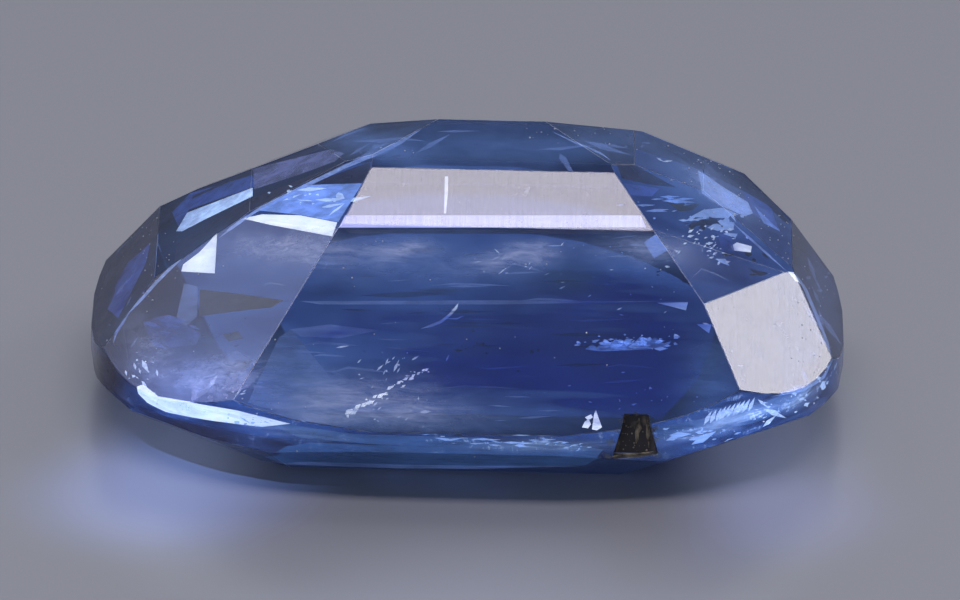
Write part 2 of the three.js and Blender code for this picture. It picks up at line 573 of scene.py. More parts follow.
def build_stone():
    facets = facets_of("sapphire")
    marks = [PLAIN, STAINED, *LOOKS]
    corners = [vert.co.copy() for vert in facets.verts]
    for face in facets.faces:
        face.material_index = marks.index(mark_of(face, corners))
        face.smooth = marks[face.material_index] == "girdle"
    print("the stone has", len(facets.faces), "facets")
    sharp = {e for e in facets.edges if e.calc_face_angle(0) > SHARP_EDGE
             and not all(f.smooth for f in e.link_faces)}
    for edge in facets.edges:
        edge.smooth = edge not in sharp
    bmesh.ops.bevel(facets, geom=list(sharp), offset=EDGE_WEAR, segments=1, profile=0.5,
                    affect="EDGES", clamp_overlap=False, material=marks.index("rubbed"))
    mesh = finished("sapphire_stone", facets)
    level_facets(mesh)
    for look in LOOKS:
        layer = mesh.attributes.new(look, "FLOAT", "FACE")
        shares = [float(marks[p.material_index] == look) for p in mesh.polygons]
        layer.data.foreach_set("value", shares)
        print(look, "faces:", int(sum(shares)))
    for polygon in mesh.polygons:
        polygon.material_index = int(marks[polygon.material_index] == STAINED)
    mesh.materials.append(crystal_finish())
    mesh.materials.append(stain_finish())
    return placed("sapphire_stone", mesh)


stone = build_stone()
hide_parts("sapphire")
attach(stone, "root")
skin = BVHTree.FromPolygons([v.co[:] for v in stone.data.vertices],
                            [p.vertices[:] for p in stone.data.polygons])

# %% [markdown]
# ## What lies just under the facets
# Inside the stone are healed cracks and feathers, and its back facets throw bright and dark shapes
# forward. Each is a thin flake of mesh, a few hundredths of a millimetre under the facet through
# which it shows; the reflected shapes are painted highlights and painted shade on such flakes. An
# outline is given in points of the photograph: each corner is where the line of sight meets the
# stone, and then a little way in, so the flake stays inside the stone from every side.

# %% Flakes
FLAKE_DEPTH = 0.014 * MM
FLAKE_THICK = 0.005 * MM
STONE_MIDDLE = (468, 313)
DRAW_IN_STEPS, DRAW_IN_SHARE = 16, 0.01


def under(x, y, depth=FLAKE_DEPTH):
    """The point a depth under the facet that an image point shows, drawn in if it is just beside."""
    for _ in range(DRAW_IN_STEPS):
        hit, normal, _, _ = skin.ray_cast(*line_of_sight(x, y))
        if hit is not None:
            return hit - normal * depth
        x, y = (at + (middle - at) * DRAW_IN_SHARE for at, middle in zip((x, y), STONE_MIDDLE))
    raise ValueError(f"image point {x:.0f}, {y:.0f} is beside the stone")


def add_flake(mesh, outline, depth=FLAKE_DEPTH):
    """A thin closed plate whose outline is a ring of image points."""
    near = [mesh.verts.new(under(x, y, depth)) for x, y in outline]
    far = [mesh.verts.new(under(x, y, depth + FLAKE_THICK)) for x, y in outline]
    mesh.faces.new(near)
    mesh.faces.new(reversed(far))
    for i in range(len(near)):
        j = (i + 1) % len(near)
        mesh.faces.new((near[j], near[i], far[i], far[j]))


def piece_of(name, mesh, finish):
    bmesh.ops.recalc_face_normals(mesh, faces=mesh.faces)
    bmesh.ops.triangulate(mesh, faces=mesh.faces)
    data = finished(name, mesh)
    data.materials.append(finish)
    made = placed(name, data)
    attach(made, "root")
    print(name, "has", len(data.polygons), "triangles")
    return made


def flakes(name, finish, outlines, depth=FLAKE_DEPTH):
    mesh = bmesh.new()
    for outline in outlines:
        add_flake(mesh, outline, depth)
    return piece_of(name, mesh, finish)


def flake_finish(name, colour, glow, cover=1.0, grain=2.5, contrast=0.35):
    """A flake with painted light: its colour, how much painted glow it gives off, and how well it
    covers.
    """
    finish = Finish.named(name)
    patches = finish.noise((grain, grain, grain), detail=4.0, roughness=0.6)
    streaks = finish.noise((grain * 0.6, grain * 4, grain * 6), detail=3.0, roughness=0.6,
                           distortion=0.5)
    lively = ((patches + streaks) * 2.2 - 1.7).clipped()
    darker = tuple(part * (1 - contrast) for part in colour) + (1.0,)
    lighter = tuple(min(part * (1 + contrast * 0.6), 1.0) for part in colour) + (1.0,)
    shade = finish.blend(lively, darker, lighter)
    # Emission is painted light: every flake glows in its own colour, though it is no lamp.
    return finish.surface(finish.principled({
        "Base Color": shade,
        "Roughness": 0.35,
        "Emission Color": shade,
        "Emission Strength": glow,
        "Alpha": (cover * (0.80 + 0.45 * streaks)).clipped(),
    }))


# %% [markdown]
# ## Painted reflections of the back facets
# Some facets at the back throw the light forward, and from the front each shows as a bright or dark
# shape with straight sides. These reflections are painted on flakes, and every kind has its own colour
# and cover. The pale ones are painted highlights that mirror a light, the royal blue ones painted
# reflections of the body's colour, the navy and olive ones painted shade from an unlit part of the
# room.

# %% Finishes of the flakes
white_flake = flake_finish("white_painted_light", (0.84, 0.90, 1.0), 0.8, contrast=0.12)
sky_flake = flake_finish("sky_blue_painted_glow", (0.20, 0.34, 0.72), 0.75, 0.8)
deep_flake = flake_finish("royal_blue_painted_glow", (0.045, 0.095, 0.36), 0.65, 0.72)
azure_flake = flake_finish("azure_painted_glow", (0.040, 0.105, 0.27), 0.6, 0.7)
strip_flake = flake_finish("lavender_white_painted_highlight", (0.56, 0.58, 0.90), 0.75, 0.9, contrast=0.12)
lavender_flake = flake_finish("lavender_painted_glow", (0.20, 0.23, 0.46), 0.5, 0.5, 1.5, 0.5)
pale_flake = flake_finish("pale_blue_painted_glow", (0.36, 0.52, 0.86), 0.7, 0.88, contrast=0.2)
dark_flake = flake_finish("navy_painted_shade", (0.020, 0.024, 0.085), 0.25, 0.85)
olive_flake = flake_finish("olive_painted_shade", (0.072, 0.070, 0.066), 0.2, 0.85)
haze_flake = flake_finish("blue_haze_painted_glow", (0.20, 0.30, 0.62), 0.5, 0.36)
line_flake = flake_finish("pale_inner_line", (0.30, 0.42, 0.74), 0.6, 0.6, 5.0)
heart_spark = flake_finish("spark_in_the_heart", (0.66, 0.86, 0.80), 1.5, 0.55, 9.0, 0.5)
night_flake = flake_finish("dark_growth_layer", (0.010, 0.020, 0.10), 0.05, 0.30)
slate_flake = flake_finish("slate_painted_shade", (0.085, 0.14, 0.32), 0.6, 0.6)
icy_flake = flake_finish("icy_painted_glow", (0.50, 0.66, 0.95), 0.8, 0.92, contrast=0.3)
mist_flake = flake_finish("lavender_mist", (0.30, 0.30, 0.47), 0.5, 0.28, 4.0, 0.5)
patch_flake = flake_finish("soft_blue_patch", (0.040, 0.075, 0.30), 0.6, 0.45, 5.0, 0.5)
veil_flake = flake_finish("veil_of_the_feather", (0.50, 0.70, 0.80), 1.2, 0.32, 9.0, 0.5)
trail_spark = flake_finish("droplet_and_painted_highlight", (0.80, 0.90, 1.0), 1.3, 0.9, 9.0)

# %% Painted bright reflections
# White painted highlights: reflections of a light, drawn as glowing flakes.
WHITE_PAINTED_HIGHLIGHTS = [
    [(181, 271), (183, 264), (199, 252), (217, 233), (214.5, 273)],
    [(243, 218), (262, 214), (300, 215), (337, 222), (332, 236), (300, 230), (268, 224)],
    [(731, 246), (737, 242), (752, 246), (751, 252), (733, 250)],
    [(788, 271), (793, 272), (801, 284), (796, 281)],
    [(445, 176), (448, 176), (448, 190), (446, 213), (444, 213)],
]
flakes("white_painted_highlights", white_flake, WHITE_PAINTED_HIGHLIGHTS)
# Sky-blue painted reflections, drawn as glowing flakes.
SKY_PAINTED_REFLECTIONS = [
    [(259, 210), (283, 196), (306, 184.5), (362, 183), (347, 207), (338, 221.5), (300, 214.5)],
    [(754, 205), (772, 212), (780, 231), (764, 223)],
    [(697, 324), (712, 324), (709, 333)],
    [(644, 242), (656, 234), (668, 250), (654, 258)],
]
flakes("sky_blue_painted_reflections", sky_flake, SKY_PAINTED_REFLECTIONS)

# %% Painted blue and pale reflections
# Royal blue painted reflections of the body's colour, drawn as glowing flakes.
ROYAL_PAINTED_REFLECTIONS = [
    [(172, 212), (190, 193), (252, 175), (256, 186), (189, 209), (178, 226)],
    [(742, 186), (768, 199), (779, 229), (750, 212)],
    [(625, 183), (660, 188), (652, 196), (630, 195)],
    [(104, 306), (128, 262), (150, 243), (146, 262), (118, 318)],
    [(718, 232), (731, 236), (735, 252), (722, 250)],
]
flakes("royal_blue_painted_reflections", deep_flake, ROYAL_PAINTED_REFLECTIONS)
# A lavender painted reflection, drawn as a glowing flake.
LAVENDER_PAINTED_REFLECTIONS = [
    [(254, 189), (251, 167), (332, 149), (344, 153), (335, 161), (300, 174)],
]
flakes("lavender_painted_reflections", lavender_flake, LAVENDER_PAINTED_REFLECTIONS)
# Pale blue painted highlights, drawn as glowing flakes.
PALE_PAINTED_HIGHLIGHTS = [
    [(698, 170), (722, 186), (748, 202), (753, 213), (745, 216), (722, 206), (702, 193)],
    [(657, 302.5), (688, 302), (686, 310)],
]
flakes("pale_blue_painted_highlights", pale_flake, PALE_PAINTED_HIGHLIGHTS)
# An icy painted highlight, drawn as a glowing flake.
ICY_PAINTED_HIGHLIGHTS = [
    [(176, 231), (187, 212.5), (252.5, 187.5), (252.5, 196), (205, 219), (182, 231)],
]
flakes("icy_painted_highlights", icy_flake, ICY_PAINTED_HIGHLIGHTS)

# %% Painted shade and hazy glow
# Navy painted shade: dark reflections of an unlit part of the room, and dark bands along the lower
# left edge and the left end.
NAVY_PAINTED_SHADE = [
    [(305, 185), (369, 162), (372, 169), (362, 182)],
    [(176, 243), (252, 198), (342, 163), (345, 165), (302, 184), (254, 209), (215, 233), (182, 259),
     (174, 262)],
    [(614, 160), (634, 164), (676, 187), (650, 184), (622, 178)],
    [(345, 229.5), (655, 229.5), (650, 234), (350, 233)],
    [(688, 225), (702, 219), (716, 218), (719, 223), (694, 226)],
    [(748, 268), (770, 273), (760, 276)],
    [(133, 406), (150, 411), (170, 418), (205, 426), (245, 434), (300, 441), (264, 456), (203, 437),
     (160, 422)],
    [(96, 345), (105, 345), (118, 368), (134, 384), (138, 396), (134, 407), (112, 390), (98, 366)],
    [(95, 335), (95, 300), (112, 264), (158, 214), (177, 205), (171, 224), (142, 250), (122, 276),
     (108, 308), (104, 336)],
    [(602, 128), (640, 136), (690, 152), (740, 174), (778, 198), (784, 214), (742, 190), (690, 166),
     (640, 150)],
]
flakes("navy_painted_shade_patches", dark_flake, NAVY_PAINTED_SHADE)
# Painted shade: a dark line just inside the stone's top outline.
PAINTED_DARK_OUTLINE = [
    [(162, 208.5), (250, 171), (333, 141), (372, 125.5), (437, 121), (437, 123.5), (374, 128.5),
     (336, 144), (254, 174), (166, 211)],
    [(437, 121), (548, 121.5), (640, 131.5), (640, 135), (548, 124.5), (437, 123.5)],
    [(640, 131.5), (700, 153), (748, 179), (790, 222), (786, 223), (745, 183), (698, 157),
     (640, 135.5)],
]
flakes("painted_dark_outline", dark_flake, PAINTED_DARK_OUTLINE)
# Olive painted shade: dark reflections of an unlit part of the room.
OLIVE_PAINTED_SHADE = [
    [(199.5, 289), (236, 293), (283, 300), (271, 307), (235, 311), (199, 316)],
    [(222, 334), (238, 331), (243, 338), (228, 341)],
    [(226, 367), (236, 360), (252, 360), (246, 368), (232, 372)],
    [(667, 201), (676, 203), (700, 204), (692, 210), (680, 211)],
]
flakes("olive_painted_shade_patches", olive_flake, OLIVE_PAINTED_SHADE)
# Hazy blue patches and a thin pale line, glowing with painted light.
HAZE_PAINTED_GLOW = [
    [(176, 318), (184, 283), (197, 286), (197, 316), (186, 326)],
    [(290, 329), (330, 324), (378, 330), (340, 338), (300, 336)],
    [(300, 301), (500, 300), (690, 301), (500, 304), (320, 304)],
    [(560, 153), (566, 157), (573, 171), (568, 170), (559, 158)],
    [(268, 460), (300, 465), (400, 468.5), (480, 469), (588, 466), (480, 466), (400, 465), (300, 462)],
]
flakes("hazy_painted_glow_patches", haze_flake, HAZE_PAINTED_GLOW)

# %% Painted bright bands along the keel and the girdle
# A lavender painted highlight, a bright band across the stone.
LAVENDER_STRIP = [[(345, 215), (641, 215), (646, 227), (339, 227)]]
flakes("lavender_painted_highlight_strip", strip_flake, LAVENDER_STRIP)
# Painted glow: the white strip where light through the stone leaves the girdle.
GIRDLE_GLOW = [
    [(137, 386), (143, 384), (158, 396), (190, 402), (215, 407), (238, 411), (262, 417), (290, 424),
     (262, 427), (235, 424), (200, 419), (165, 412), (147, 403), (138, 394)],
]
flakes("girdle_glow", white_flake, GIRDLE_GLOW)
# Azure bands of painted glow along the girdle and below it.
AZURE_PAINTED_GLOW = [
    [(263, 457), (285, 447), (310, 443), (400, 446), (480, 442), (560, 443), (603, 450), (585, 465),
     (480, 468), (400, 467), (300, 464)],
    [(264, 457), (288, 446), (330, 446), (346, 452), (310, 460), (285, 462)],
    [(262, 420), (290, 425), (350, 434), (480, 438), (480, 446), (380, 445), (300, 438)],
    [(655, 428), (700, 420), (760, 404), (800, 384), (812, 388), (765, 420), (700, 434), (657, 440)],
]
flakes("azure_painted_glow_bands", azure_flake, AZURE_PAINTED_GLOW)

# %% [markdown]
# ## Fingerprint, needles and feather
# Crystals grow shut over cracks and leave a trail of droplets, called a fingerprint. Needles of
# another mineral are thin and bright, and a feather is a crack that still stands open. The crystal
# itself grew in layers, some darker and some milky. Nobody could draw each droplet, so most are
# strewn by chance: a row gives how many there are, around which point and how widely, at which
# angle, how long and how wide they are, and how far their angles differ.

# %% Finishes of the small inclusions
SPECK_DEPTH = 0.035 * MM
chance = random.Random(17)
# The bright finish glows with painted light, for needles and specks and for the glints on the girdle;
# the dark one also draws the painted shade in the feather's gaps.
spark_flake = flake_finish("inclusion_and_painted_glint", (0.62, 0.72, 1.0), 0.75, 0.9, 6.0)
shade_flake = flake_finish("dark_inclusion_and_painted_shade", (0.010, 0.013, 0.035), 0.05, 0.9, 6.0)


# %% Outlines made by rule and by chance
def half_across(start, end, wide):
    """Half a width, at right angles to the way from one image point to another."""
    (x0, y0), (x1, y1) = start, end
    long = math.hypot(x1 - x0, y1 - y0)
    return -(y1 - y0) / long * wide / 2, (x1 - x0) / long * wide / 2


def sliver(start, end, wide):
    """A thin pointed ring of image points from one end to the other."""
    (x0, y0), (x1, y1) = start, end
    side_x, side_y = half_across(start, end, wide)
    mx, my = (x0 * 0.6 + x1 * 0.4), (y0 * 0.6 + y1 * 0.4)
    return [(x0, y0), (mx + side_x, my + side_y), (x1, y1), (mx - side_x, my - side_y)]


def thread(points, wide):
    """A ring of image points around a bent line, pointed at both ends."""
    left, right = [], []
    for i in range(1, len(points) - 1):
        x, y = points[i]
        side_x, side_y = half_across(points[i - 1], points[i + 1], wide)
        left.append((x + side_x, y + side_y))
        right.append((x - side_x, y - side_y))
    return [points[0], *left, points[-1], *reversed(right)]


def chip(x, y, size):
    """A ragged ring of image points about a point."""
    sides = chance.choice((3, 4, 5, 6))
    turn = chance.uniform(0, math.tau)
    ring = []
    for i in range(sides):
        way, reach = turn + math.tau * i / sides, size * chance.uniform(0.35, 1.0) / 2
        ring.append((x + reach * math.cos(way), y + reach * 0.7 * math.sin(way)))
    return ring


CHIP_SHARE, LOG_OF_SIZE = 0.4, (-0.6, 0.45)


def scattered(count, centre, spread, turn, length, wide, fan=22):
    """Slivers and chips strewn around a point, most of them small."""
    rings = []
    for _ in range(count):
        x, y = (chance.gauss(c, s) for c, s in zip(centre, spread))
        way = math.radians(turn + chance.gauss(0, fan))
        size = math.exp(chance.gauss(*LOG_OF_SIZE))
        dx, dy = length * size * math.cos(way) / 2, -length * size * math.sin(way) / 2
        if chance.random() < CHIP_SHARE:
            rings.append(chip(x, y, wide * size * 2.0))
        else:
            rings.append(sliver((x - dx, y - dy), (x + dx, y + dy), wide * size))
    return rings


POCKET_ACROSS, POCKET_UP = (602, 662), (410, 462)


def beside_pocket(ring):
    return not any(POCKET_ACROSS[0] < x < POCKET_ACROSS[1] and POCKET_UP[0] < y < POCKET_UP[1]
                   for x, y in ring)


def strewn(rows):
    """The rings of several rows, but none over the pocket."""
    return [ring for row in rows for ring in scattered(*row) if beside_pocket(ring)]


# %% Fingerprint
TRAIL_START, TRAIL_END, TRAIL_DROPLETS = (351, 411), (428, 368), 19
DROPLET_SIZES = (3.2, 6.2)


def droplets():
    rings = []
    for i in range(TRAIL_DROPLETS):
        share = i / (TRAIL_DROPLETS - 1)
        x, y = (a + (b - a) * share for a, b in zip(TRAIL_START, TRAIL_END))
        x, y = x + chance.gauss(0, 1.0), y + chance.gauss(0, 1.3)
        size = chance.uniform(*DROPLET_SIZES) * (1.4 - 0.5 * share)
        rings.append(sliver((x - size / 2, y + size / 3), (x + size / 2, y - size / 3), size * 0.6))
        rings.append(chip(x + chance.gauss(0, 2.4), y + chance.gauss(0, 2.4), size * 0.6))
    return rings


# The droplets are real; their brightness is a painted glow.
flakes("fingerprint_trail", trail_spark, droplets(), SPECK_DEPTH)

# %% Needles and worn lines
CURVED_NEEDLE = [
    ([(421, 328), (431, 325), (441, 321), (450, 314), (456, 307), (459, 301)], 2.6),
    ([(446, 318), (457, 318), (464, 315)], 1.4),
]
# Worn lines along the facet edges; their pale glow is painted light.
WORN_LINES = [
    ([(243, 218), (262, 207), (302, 187), (345, 166), (373, 155), (400, 142), (421, 129)], 3.8),
    ([(218, 238), (232, 227), (246, 217), (262, 208)], 3.0),
    ([(728, 218), (750, 238), (768, 254), (787, 271)], 2.0),
    ([(124, 318), (140, 300), (157, 281), (170, 268), (182, 258)], 3.0),
    ([(113, 343), (116, 332), (123, 321), (131, 309)], 2.6),
    ([(552, 131), (575, 142), (601, 153), (611, 160)], 1.8),
    ([(795, 272), (806, 290), (817, 316), (827, 342), (832, 357)], 3.0),
    ([(833, 360), (824, 377), (803, 390), (770, 397)], 3.0),
]
# Each row is where a thread starts, how long it is, how far it rises and how wide it is.
FAINT_THREADS = [
    (487, 262, 40, 6, 2.0), (500, 272, 46, 9, 1.8), (512, 250, 34, -4, 1.6), (300, 345, 60, 3, 2.0),
    (310, 356, 36, 2, 1.5), (520, 300, 60, 2, 1.6), (560, 318, 70, -2, 1.8), (440, 388, 80, 3, 1.6),
    (330, 372, 60, 5, 2.2), (470, 365, 60, -3, 1.6), (600, 368, 60, 4, 1.6), (360, 262, 50, 3, 2.0),
    (430, 285, 80, 2, 1.8), (262, 285, 24, 3, 1.8), (690, 280, 40, 12, 1.6),
]


def low_arch(x, y, long, rise, wide):
    points = [(x, y), (x + long * 0.3, y - rise), (x + long * 0.7, y - rise * 0.5), (x + long, y)]
    return thread(points, wide)


flakes("curved_needle", spark_flake, [thread(*row) for row in CURVED_NEEDLE], SPECK_DEPTH)
flakes("worn_lines", line_flake, [thread(*row) for row in WORN_LINES])
flakes("faint_threads", haze_flake, [low_arch(*row) for row in FAINT_THREADS], SPECK_DEPTH)

# %% Growth layers, and a patch of painted shade
# A slate patch of painted shade left of the main facet, over a dark view through the stone.
SLATE_PAINTED_SHADE = [
    [(279, 337), (291, 329), (318, 362), (352, 402), (322, 416), (262, 407), (248, 402)],
]
DARK_LAYERS = [
    (16, (420, 335), (85, 26), 0, 90, 5, 2),
    (10, (560, 330), (80, 30), 0, 90, 5, 2),
    (8, (420, 275), (50, 14), 0, 70, 5, 3),
]
END_LAYERS = [
    (18, (818, 300), (9, 34), -65, 34, 5, 10),
    (14, (122, 290), (12, 30), 60, 36, 5, 10),
    (8, (370, 145), (24, 6), 25, 44, 5, 6),
    (8, (625, 145), (30, 6), -12, 44, 5, 6),
]
CORNER_LAYERS = [(9, (163, 330), (13, 6), -15, 26, 7, 14)]
CORNER_PATCH = [[(143, 323), (158, 316), (178, 320), (200, 333), (196, 344), (170, 347), (150, 338)]]
CORNER_MIST = [(12, (225, 380), (18, 10), 40, 40, 12, 16)]
RIGHT_LAYERS = [
    (16, (662, 202), (22, 7), 0, 34, 4, 6),
    (9, (590, 246), (28, 3), 0, 26, 2.2, 4),
]
LIGHT_LAYERS = [
    (14, (380, 320), (60, 40), 0, 70, 3.5, 3),
    (10, (560, 262), (70, 16), 0, 60, 3, 3),
    (12, (470, 395), (120, 14), 0, 60, 3.5, 3),
    (6, (480, 145), (50, 8), 0, 60, 3, 3),
]
flakes("slate_painted_shade_patch", slate_flake, SLATE_PAINTED_SHADE)
flakes("dark_layers", night_flake, strewn(DARK_LAYERS))
flakes("end_layers", haze_flake, strewn(END_LAYERS))
flakes("corner_layers", deep_flake, strewn(CORNER_LAYERS))
flakes("corner_patch", patch_flake, CORNER_PATCH)
flakes("corner_mist", mist_flake, strewn(CORNER_MIST))
flakes("right_layers", sky_flake, strewn(RIGHT_LAYERS))
flakes("light_layers", haze_flake, strewn(LIGHT_LAYERS))

# %% Bright specks and cracks
SERRATED_FEATHER = [
    (34, (624, 342), (27, 2.2), 0, 15, 5, 18),
    (10, (640, 336), (16, 2), 10, 9, 4, 30),
]
FEATHER_VEIL = [
    [(585, 349), (592, 344), (597, 347), (603, 341), (609, 345), (616, 338), (622, 343), (628, 337),
     (634, 342), (641, 336), (648, 341), (655, 337), (664, 343), (671, 341), (668, 346), (650, 349),
     (625, 350), (600, 351)],
]
# Painted highlights in the royal blue heart, beside the pocket.
HEART_PAINTED_HIGHLIGHTS = [
    [(582, 427), (585, 421), (589, 419), (591, 424), (588, 428)],
    [(592, 429), (594, 414), (596, 409.5), (598, 416), (602, 427), (597, 430)],
    [(585, 417), (591, 414), (593, 417), (588, 420)],
]
BRIGHT_SPECKS = [
    (20, (402, 362), (15, 6), 40, 12, 2.6),
    (22, (390, 400), (34, 14), 30, 7, 2.2),
    (60, (706, 244), (15, 11), 25, 6, 2.4),
    (16, (520, 258), (22, 9), 20, 14, 1.6),
    (16, (240, 382), (14, 8), 50, 8, 1.8),
    (14, (300, 395), (26, 10), 20, 6, 1.6),
    (26, (142, 372), (9, 14), -50, 7, 2.6),
    (18, (600, 300), (60, 40), 10, 7, 1.5),
    (14, (640, 395), (30, 14), 30, 6, 1.8),
]
BRIGHT_STROKES = [
    ((208, 387), (217, 374), 4.5),
    ((336, 347), (349, 345), 1.8),
    ((657, 157), (664, 161), 1.8),
    ((663, 161), (674, 160), 1.6),
]
# A soft painted highlight.
SOFT_PAINTED_HIGHLIGHT = [[(391, 251), (400, 248.5), (412, 248), (421, 250), (412, 254), (399, 255)]]
DARK_CRACKS = [
    (8, (470, 347), (9, 4), 0, 11, 3.2),
    (5, (652, 270), (12, 5), 10, 9, 2.4),
    (7, (448, 425), (10, 4), 0, 9, 2.6),
    (12, (148, 345), (8, 14), -55, 11, 3.2),
    (8, (205, 345), (20, 14), 10, 12, 2.4),
]
bright_strokes = [sliver(*row) for row in BRIGHT_STROKES]
flakes("serrated_feather", heart_spark, strewn(SERRATED_FEATHER), SPECK_DEPTH)
flakes("feather_veil", veil_flake, FEATHER_VEIL)
flakes("heart_painted_highlights", trail_spark, HEART_PAINTED_HIGHLIGHTS)
flakes("bright_slivers", spark_flake, strewn(BRIGHT_SPECKS) + bright_strokes, SPECK_DEPTH)
flakes("soft_painted_highlight", lavender_flake, SOFT_PAINTED_HIGHLIGHT, SPECK_DEPTH)
flakes("dark_slivers", shade_flake, strewn(DARK_CRACKS), SPECK_DEPTH)

# %% [markdown]
# ## The girdle and the open feather
# The saw has left a row of slanted strokes near the right corner of the girdle, and the ground band
# glints all along; strokes and glints are painted highlights. Above it a feather comes up to the
# facet: broken shards of it shine beside gaps, with painted highlights on the shards and painted
# shade in the gaps.

# %% Glints along the girdle
HATCH_STROKES, HATCH_STEP, HATCH_FALL = 10, 4.8, 1.5
HATCH_LOW, HATCH_HIGH, HATCH_WIDTHS = (704, 425), (712, 411), (3.6, 5.6)
GIRDLE_GLINTS = [
    (22, (764, 411), (9, 5), 12, 14, 3.2),
    (14, (803, 399), (7, 6), 40, 8, 4),
    (9, (823, 381), (4, 6), 60, 7, 3.5),
]
GIRDLE_STREAKS = [
    (30, (510, 441), (36, 2.5), 0, 24, 2.4, 5),
    (18, (560, 447), (26, 2.5), 6, 12, 2.4, 12),
    (44, (700, 434), (26, 3.5), 12, 13, 3.4, 12),
    (14, (255, 421), (22, 3), -14, 16, 2.2, 6),
]


def hatch():
    """A row of slanted strokes, as a saw leaves them, drawn as painted highlights."""
    rings = []
    for i in range(HATCH_STROKES):
        along, fall = HATCH_STEP * i, HATCH_FALL * i
        low = (HATCH_LOW[0] + along + chance.gauss(0, 1), HATCH_LOW[1] - fall)
        high = (HATCH_HIGH[0] + along, HATCH_HIGH[1] - fall)
        rings.append(sliver(low, high, chance.uniform(*HATCH_WIDTHS)))
    return rings


# The strokes, glints and streaks glow with painted light.
flakes("girdle_glints", spark_flake, hatch() + strewn(GIRDLE_GLINTS))
flakes("girdle_streaks", pale_flake, strewn(GIRDLE_STREAKS))
SKY_STREAKS = [(20, (316, 196), (22, 6), 14, 40, 5, 8)]
flakes("sky_streaks", icy_flake, strewn(SKY_STREAKS))

# %% Open feather
FEATHER_SHARDS = [
    (20, (708, 216), (15, 5), 10, 20, 4.0),
    (10, (735, 222), (9, 7), -35, 18, 4.0),
]
FEATHER_FACES = [
    [(691, 216), (704, 209), (722, 207), (739, 214), (725, 217), (706, 217)],
    [(708, 227), (721, 219), (735, 222), (734, 228), (718, 230)],
    [(716, 236), (727, 232), (738, 235), (729, 236.5)],
    [(727, 232), (738, 233), (736, 237)],
    [(716, 258), (726, 258), (730, 265), (722, 262)],
]
FEATHER_SHADOWS = [
    (12, (703, 222), (12, 4), 15, 18, 4.5),
    (8, (724, 243), (9, 7), 15, 14, 4.5),
    (6, (748, 258), (14, 8), -20, 20, 5),
]
flakes("open_feather", pale_flake, strewn(FEATHER_SHARDS) + FEATHER_FACES, SPECK_DEPTH)
flakes("open_feather_shadows", shade_flake, strewn(FEATHER_SHADOWS), SPECK_DEPTH)

# %% [markdown]
# ## Rust in the pocket
# On the dark back of the pocket stand two tan runs of rust, and along its foot lies a crumbly lip.
# They are small ridges of mesh on the pocket's own walls, so they sit right from every side.

# %% Rust
def add_speck(mesh, x, y, radius):
    """A grain half sunk in whatever the image point shows of the stone."""
    hit, _, _, _ = skin.ray_cast(*line_of_sight(x, y))
    if hit is None:
        return
    stretch = [radius * chance.uniform(0.7, 1.3) for _ in range(3)]
    at = Matrix.Translation(hit) @ Matrix.Diagonal((*stretch, 1))
    bmesh.ops.create_icosphere(mesh, subdivisions=1, radius=1, matrix=at)


def rust_finish():
    finish = Finish.named("tan_rust")
    crumbs = finish.noise((9, 9, 9), detail=5.0, roughness=0.7)
    share = (crumbs * 4 - 1.4).clipped()
    shade = finish.blend(share, (0.06, 0.045, 0.035, 1), (0.42, 0.34, 0.23, 1))
    relief = finish.bump(crumbs, 0.7, 0.01 * MM)
    names = {"Base Color": shade, "Roughness": 0.75, "Normal": relief}
    return finish.surface(finish.principled(names))


def ridge(mesh, points, wide, proud):
    """A low ridge with a three-sided section, along a line of image points on the stone."""
    rings = []
    for i, (x, y) in enumerate(points):
        hit, normal, _, _ = skin.ray_cast(*line_of_sight(x, y))
        swell = math.sin(math.pi * (i + 0.35) / (len(points) - 0.3))
        half = wide * PIXEL / 2 * swell * chance.uniform(0.7, 1.3)
        (x0, y0), (x1, y1) = points[max(i - 1, 0)], points[min(i + 1, len(points) - 1)]
        side = (STONE_RIGHT * (y1 - y0) + STONE_UP * (x1 - x0)).normalized()
        top = hit + normal * proud * MM * swell * chance.uniform(0.6, 1.2)
        sunk = normal * RIDGE_SUNK
        section = (hit - side * half - sunk, top, hit + side * half - sunk)
        rings.append([mesh.verts.new(point) for point in section])
    for a, b in zip(rings, rings[1:]):
        for i in range(3):
            j = (i + 1) % 3
            mesh.faces.new((a[i], a[j], b[j], b[i]))
    mesh.faces.new(rings[0])
    mesh.faces.new(reversed(rings[-1]))


# Each row is a line of image points, how wide the ridge is in pixels and how proud in millimetres.
RUST_RIDGES = [
    ([(639, 418), (638, 423), (639, 428), (637, 433), (637, 439), (636, 444)], 6.5, 0.035),
    ([(646, 420), (647, 425), (648, 430), (648, 436), (649, 441), (649, 447)], 5, 0.03),
    ([(611, 457), (618, 456), (625, 455.5), (632, 455), (640, 454.5), (648, 453), (654, 451)],
     5.5, 0.02),
]
CRUMBS, CRUMB_SIZES = 30, (0.5, 1.3)
CRUMBS_ACROSS, CRUMBS_UP = (622, 650), (420, 452)
RIDGE_SUNK = 0.006 * MM


def build_rust():
    mesh = bmesh.new()
    for row in RUST_RIDGES:
        ridge(mesh, *row)
    for _ in range(CRUMBS):
        x, y = chance.uniform(*CRUMBS_ACROSS), chance.uniform(*CRUMBS_UP)
        add_speck(mesh, x, y, chance.uniform(*CRUMB_SIZES) * PIXEL)
    return piece_of("pocket_rust", mesh, rust_finish())


# %% [markdown]
# ## Dust
# The stone lies as it was found, with dust on it. A speck is a tiny eight-sided grain, half sunk in
# the facet, because a flat dot would vanish from the side.

# %% Dust specks
def dust_finish():
    finish = Finish.named("white_dust")
    tone = finish.noise((20, 20, 20))
    shade = finish.blend(tone, (0.45, 0.46, 0.52, 1), (0.75, 0.76, 0.80, 1))
    return finish.surface(finish.principled({"Base Color": shade, "Roughness": 0.8}))


